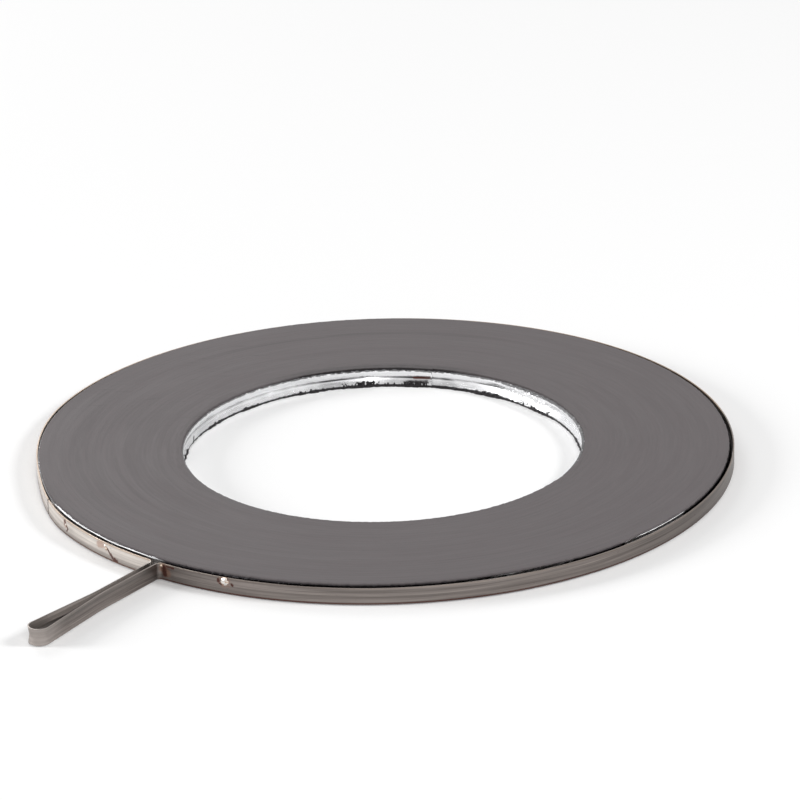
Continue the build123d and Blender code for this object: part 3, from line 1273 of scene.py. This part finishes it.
def handle_steel(scene):
    """Duller strip of the handle: painted sheen beside its ends, painted shade low down and at its far end,
    with tinted edges, burns and scratches.
    """
    tints = scene.gasket_finish
    rim = over_the_strip(scene)
    reach = scene.gasket_handle.reach
    half_width = scene.gasket_handle.strip_width / 2
    coat = Coat("handle_strip_steel", tints.dull_handle)
    radius = coat.ring["Radius"]
    height = coat.ring["Height"] - HANDLE_MIDDLE
    along = coat.carried("along")
    grain = coat.group(rolling_lines(), {"Along": along, "Height": height})
    on_rim = coat.ramp(radius, rim + 0.3 * MM, rim + 0.1 * MM)
    off_rim = coat.ramp(radius, rim + 0.8 * MM, rim + 2.5 * MM)
    tip = coat.ramp(radius, reach - 7 * MM, reach - 1.5 * MM)

    # Painted sheen lightens the strip beside both its ends, up to the first bend, and less so on its lower
    # third, which stays darker as painted shade.
    painted_sheen = coat.largest(coat.ramp(along, 31.4 * MM, 30.4 * MM), coat.arc(156, 202, 10))
    painted_sheen = painted_sheen * (0.34 + 0.58 * coat.ramp(height, -0.8 * MM, 0.1 * MM)) * (0.55 + 0.6 * grain["Drift"])
    coat.cover(tints.sheen_steel, coat.smallest(painted_sheen, 1))
    coat.cover(tints.worn_tip, tip)
    # Painted light: the inside of the legs is painted lighter, away from the rim.
    coat.cover(tints.lit_inside_steel, coat.carried("inner") * off_rim)
    leg_edge = coat.ramp(abs(height), half_width - 0.06 * MM, half_width - 0.01 * MM)
    coat.cover(tints.dull_handle, leg_edge * (0.7 * off_rim))

    # Rolling lines show less under the painted sheen. Painted shade darkens the far end, towards the back of
    # the rim.
    lined = (0.80 + 0.36 * grain["Lines"]) * (0.76 + 0.42 * grain["Bands"])
    lined = lined + coat.largest(0.7 * painted_sheen, 0.75 * tip) * (0.98 - lined)
    coat.dim(lined * (1 - 0.3 * coat.arc(318, 380, 30)))

    coat.cover(tints.heat_tint, 0.5 * coat.strokes(rim, HALOS, 0.9))
    scorch = coat.strokes(rim, SCORCHES, 0.9)
    coat.cover(tints.burn, 0.9 * scorch)

    # Slit edges keep a warm tint on the rim, most away from the handle. Painted shade darkens the lowest part
    # there, less under the painted sheen.
    edge = coat.ramp(abs(height), half_width - 0.26 * MM, half_width - 0.06 * MM)
    tinted = 0.12 + 0.60 * coat.arc(10, 233, 6)
    coat.cover(tints.straw_tint, edge * (tinted * on_rim))
    low = coat.ramp(height, 0.34 * MM - half_width, 0.12 * MM - half_width)
    coat.cover(tints.burn, low * (0.85 - 0.45 * painted_sheen) * on_rim)

    smear = coat.smear(coat.place, 0.30 - 0.15 * tip, 1.1 * MM)
    coat.cover(tints.dark_graphite, 0.45 * smear)
    return coat.finish({
        "Metallic": 1,
        "Roughness": 0.34 + 0.16 * grain["Lines"] + 0.25 * coat.largest(scorch, smear),
        "Normal": coat.bump(grain["Lines"], 0.35, 0.01 * MM),
    })


def weld_metal(scene):
    """Bright lumpy metal of a bead, dark in its hollows."""
    tints = scene.gasket_finish
    coat = Coat("weld_bead_metal", tints.weld)
    lumps = coat.noise(coat.place, 2600, 3)
    coat.cover(tints.straw_tint, 0.85 * coat.ramp(lumps, 0.56, 0.44))
    return coat.finish({
        "Metallic": 1,
        "Roughness": coat.ramp(lumps, 0.8, 0.1),
        "Normal": coat.bump(lumps, 0.6, 0.1 * MM),
    })


def pressed_graphite(scene):
    """Smooth pressed graphite: faint rings along its turns, rubbed streaks, and dark smears at the bore."""
    tints = scene.gasket_finish
    bore = scene.gasket_winding.bore_radius
    coat = Coat("pressed_graphite", tints.graphite)
    radius = coat.ring["Radius"]
    swept = coat.ring["Swept"]
    fine = coat.swept_noise(swept, 7, 2.6, 4, 0.6)
    broad = coat.swept_noise(swept, 2, 0.45, 3)
    shade = 0.70 + 0.34 * fine + 0.18 * broad + 0.09 * coat.noise(coat.place, 60, 4, 0.6)

    # Faint rings of uneven strength: painted shading of the turns' relief, clearest at the left, where light
    # catches it
    rings = coat.ramp(coat.swept_noise(swept, 1.5, 1.05, 2), 0.38, 0.62)
    shade = shade + (0.05 + 0.09 * coat.arc(146, 218, 30)) * (rings - 0.5)

    # One darker ring, clearest behind the bore
    dark_ring = coat.ramp(abs(radius - 48.2 * MM), 0.8 * MM, 0.1 * MM) * coat.arc(66, 125, 20)
    shade = shade - 0.30 * (dark_ring * coat.ramp(fine, 0.35, 0.6))

    # Rubbed streaks that cross the turns at the back left
    crossing = {"Vector": coat.place, "Rotation": (0, 0, radians(-28)), "Scale": (130, 1500, 1)}
    streaks = coat.ramp(coat.noise(coat.add("Mapping", crossing), 1, 3, 0.6), 0.60, 0.72)
    shade = shade - 0.24 * (streaks * coat.arc(100, 165, 20))

    # A dark band right beside the bore, at the back
    beside = coat.ramp(radius, bore + 2.6 * MM, bore + 1.2 * MM) * coat.arc(64, 118, 16)
    shade = shade - 0.55 * (beside * (0.3 + 0.6 * fine))
    coat.dim(shade)

    # Dark smears close to the bore
    close = coat.ramp(radius, bore + 3.2 * MM, bore + 0.7 * MM)
    behind = 0.15 + 0.45 * coat.arc(66, 120, 25)
    smear = coat.ramp(coat.swept_noise(swept, 22, 3.2, 6, 0.75), 0.42, 0.75) * (close * behind)
    coat.cover(tints.dark_graphite, 1.6 * smear)

    # The sides of the proud graphite are torn, and painted shade darkens them towards the metal.
    side = coat.ramp(abs(coat.ring["Height"]), FILLER_HIGH.z - 0.06 * MM, FILLER_HIGH.z - 0.22 * MM)
    torn = coat.ramp(coat.noise(coat.place, 1800, 3), 0.3, 0.7)
    black = coat.largest(coat.arc(62, 124, 12), 0.6 * coat.arc(232, 340, 6))
    coat.cover(tints.dark_graphite, side * (0.15 + 0.6 * black) * (0.6 + 0.4 * torn))
    return coat.finish({
        "Roughness": 0.42 + 0.22 * broad + 0.2 * smear,
        "Specular IOR Level": 0.31,
        "Normal": coat.bump(fine, 0.25, 0.02 * MM),
    })


def torn_graphite(scene):
    """Black torn graphite with a few grey glints."""
    tints = scene.gasket_finish
    coat = Coat("torn_graphite", tints.dark_graphite)
    torn = coat.noise(coat.place, 3500, 4, 0.7)
    coat.cover(tints.graphite, 0.8 * coat.ramp(torn, 0.60, 0.72))
    return coat.finish({
        "Roughness": coat.ramp(torn, 1.0, 0.2),
        "Specular IOR Level": 0.3,
        "Normal": coat.bump(torn, 0.8, 0.06 * MM),
    })


def seen_directly(recipe):
    """1 for rays from the eye, in reflections and through clear things, and 0 for those of soft light."""
    rays = recipe.outputs(recipe.node("LightPath", {}))
    seen = recipe.largest(rays["Is Camera Ray"], rays["Is Glossy Ray"])
    return recipe.largest(seen, rays["Is Transmission Ray"])


def floor_finish(scene):
    """White table: it shows white to the eye and in reflections, and keeps the gasket's shadow."""
    coat = Coat("pale_floor", scene.gasket_finish.floor)
    return coat.finish({
        "Roughness": 0.9,
        "Specular IOR Level": 0,
        "Emission Color": (1, 1, 1),
        "Emission Strength": 0.10 * seen_directly(coat),
    })


# Stage

FLOOR_HALF_WIDTH = 6

Softbox = namedtuple("Softbox", "place size power")

# Round lamps that face the gasket: places and sizes in metres, and powers in watts
SOFTBOXES = {
    "back_softbox": Softbox((-0.35, 0.75, 0.55), 0.5, 2.0),
    "left_softbox": Softbox((-0.95, 0.02, 0.30), 0.36, 6.6),
    "right_softbox": Softbox((0.80, -0.15, 0.60), 0.3, 4.6),
    "front_softbox": Softbox((0.15, -0.85, 0.55), 0.5, 2.8),
}

# The camera stands in front of the gasket, at this distance from it and at this angle above the table.
CAMERA_DISTANCE = 732.8 * MM
CAMERA_ELEVATION = 0.395676
CAMERA_LENS = 205.8
SENSOR_WIDTH = 36

# How it is turned away from the middle of the table under the ring. All its angles are in radians.
CAMERA_PAN = -0.00414
CAMERA_TILT = 0.01304
CAMERA_ROLL = -0.02528


class GASKET_OT_add_stage(bpy.types.Operator):
    """Adds the pale floor, the soft lights and the camera"""

    bl_idname = "gasket.add_stage"
    bl_label = "Add Stage"

    def execute(self, context):
        scene = context.scene
        floor_height = FILLER_LOW.z
        bm = bmesh.new()
        bmesh.ops.create_grid(bm, x_segments=1, y_segments=1, size=FLOOR_HALF_WIDTH)
        bmesh.ops.translate(bm, verts=bm.verts, vec=(0, 0, floor_height))
        floor = make_object(bm, "floor", floor_finish(scene))
        scene.world = self.soft_room()
        for name, softbox in SOFTBOXES.items():
            self.add_softbox(scene, name, softbox)
        scene.camera = self.add_camera(scene, floor_height)
        scene.view_settings.view_transform = "Standard"
        return {"FINISHED"}

    def soft_room(self):
        """A room that shows white to the eye and in the metal, and lights more softly than the lamps do."""
        world = bpy.data.worlds.new("soft_room")
        world.use_nodes = True
        recipe = Recipe(world.node_tree)
        recipe.nodes.clear()
        strength = 0.33 + 0.67 * seen_directly(recipe)
        background = recipe.add("Background", {"Color": (1, 1, 1), "Strength": strength})
        recipe.node("OutputWorld", {"Surface": background})
        return world

    def add_softbox(self, scene, name, softbox):
        """Adds a round lamp that faces the gasket."""
        lamp = bpy.data.lights.new(name, "AREA")
        lamp.shape = "DISK"
        lamp.size = softbox.size
        lamp.energy = softbox.power
        light = bpy.data.objects.new(name, lamp)
        facing = Vector(softbox.place).to_track_quat("Z", "Y").to_matrix().to_4x4()
        light.matrix_world = Matrix.Translation(softbox.place) @ facing
        scene.collection.objects.link(light)

    def add_camera(self, scene, floor_height):
        """Adds the camera and turns it to the gasket."""
        data = bpy.data.cameras.new("camera")
        data.lens = CAMERA_LENS
        data.sensor_width = SENSOR_WIDTH
        camera = bpy.data.objects.new("camera", data)
        forwards = -CAMERA_DISTANCE * cos(CAMERA_ELEVATION)
        upwards = CAMERA_DISTANCE * sin(CAMERA_ELEVATION) + floor_height
        turn = (
            Matrix.Rotation(pi / 2 - CAMERA_ELEVATION, 4, "X")
            @ Matrix.Rotation(CAMERA_PAN, 4, "Y")
            @ Matrix.Rotation(CAMERA_TILT, 4, "X")
            @ Matrix.Rotation(CAMERA_ROLL, 4, "Z")
        )
        camera.matrix_world = Matrix.Translation((0, forwards, upwards)) @ turn
        scene.collection.objects.link(camera)
        return camera


class GASKET_PT_pieces(bpy.types.Panel):
    """Lists the sizes and colours, and the buttons that add each piece"""

    bl_idname = "GASKET_PT_pieces"
    bl_label = "Spiral Wound Gasket"
    bl_space_type = "VIEW_3D"
    bl_region_type = "UI"
    bl_category = "Gasket"

    def draw(self, context):
        for group_name in SETTINGS:
            settings = getattr(context.scene, group_name)
            column = self.layout.column(align=True)
            for name in settings.__annotations__:
                column.prop(settings, name)
        for operator in OPERATORS:
            self.layout.operator(operator.bl_idname)


OPERATORS = (
    GASKET_OT_add_winding,
    GASKET_OT_add_filler,
    GASKET_OT_add_lips,
    GASKET_OT_add_handle,
    GASKET_OT_add_flash,
    GASKET_OT_add_crumbs,
    GASKET_OT_add_welds,
    GASKET_OT_add_stage,
)
SETTINGS = {
    "gasket_winding": WindingSettings,
    "gasket_handle": HandleSettings,
    "gasket_dent": DentSettings,
    "gasket_finish": FinishSettings,
}
CLASSES = (*SETTINGS.values(), *OPERATORS, GASKET_PT_pieces)


def register():
    """Registers the classes and hangs the settings on the scene."""
    for item in CLASSES:
        bpy.utils.register_class(item)
    for name, settings in SETTINGS.items():
        setattr(bpy.types.Scene, name, PointerProperty(type=settings))


def unregister():
    """Takes the settings and the classes away again."""
    for name in SETTINGS:
        delattr(bpy.types.Scene, name)
    for item in reversed(CLASSES):
        bpy.utils.unregister_class(item)


def main():
    """Adds every piece and the stage."""
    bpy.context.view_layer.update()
    register()
    bpy.ops.gasket.add_winding()
    bpy.ops.gasket.add_filler()
    bpy.ops.gasket.add_lips()
    bpy.ops.gasket.add_handle()
    bpy.ops.gasket.add_flash()
    bpy.ops.gasket.add_crumbs()
    bpy.ops.gasket.add_welds()
    bpy.ops.gasket.add_stage()


if __name__ == "__main__":
    main()
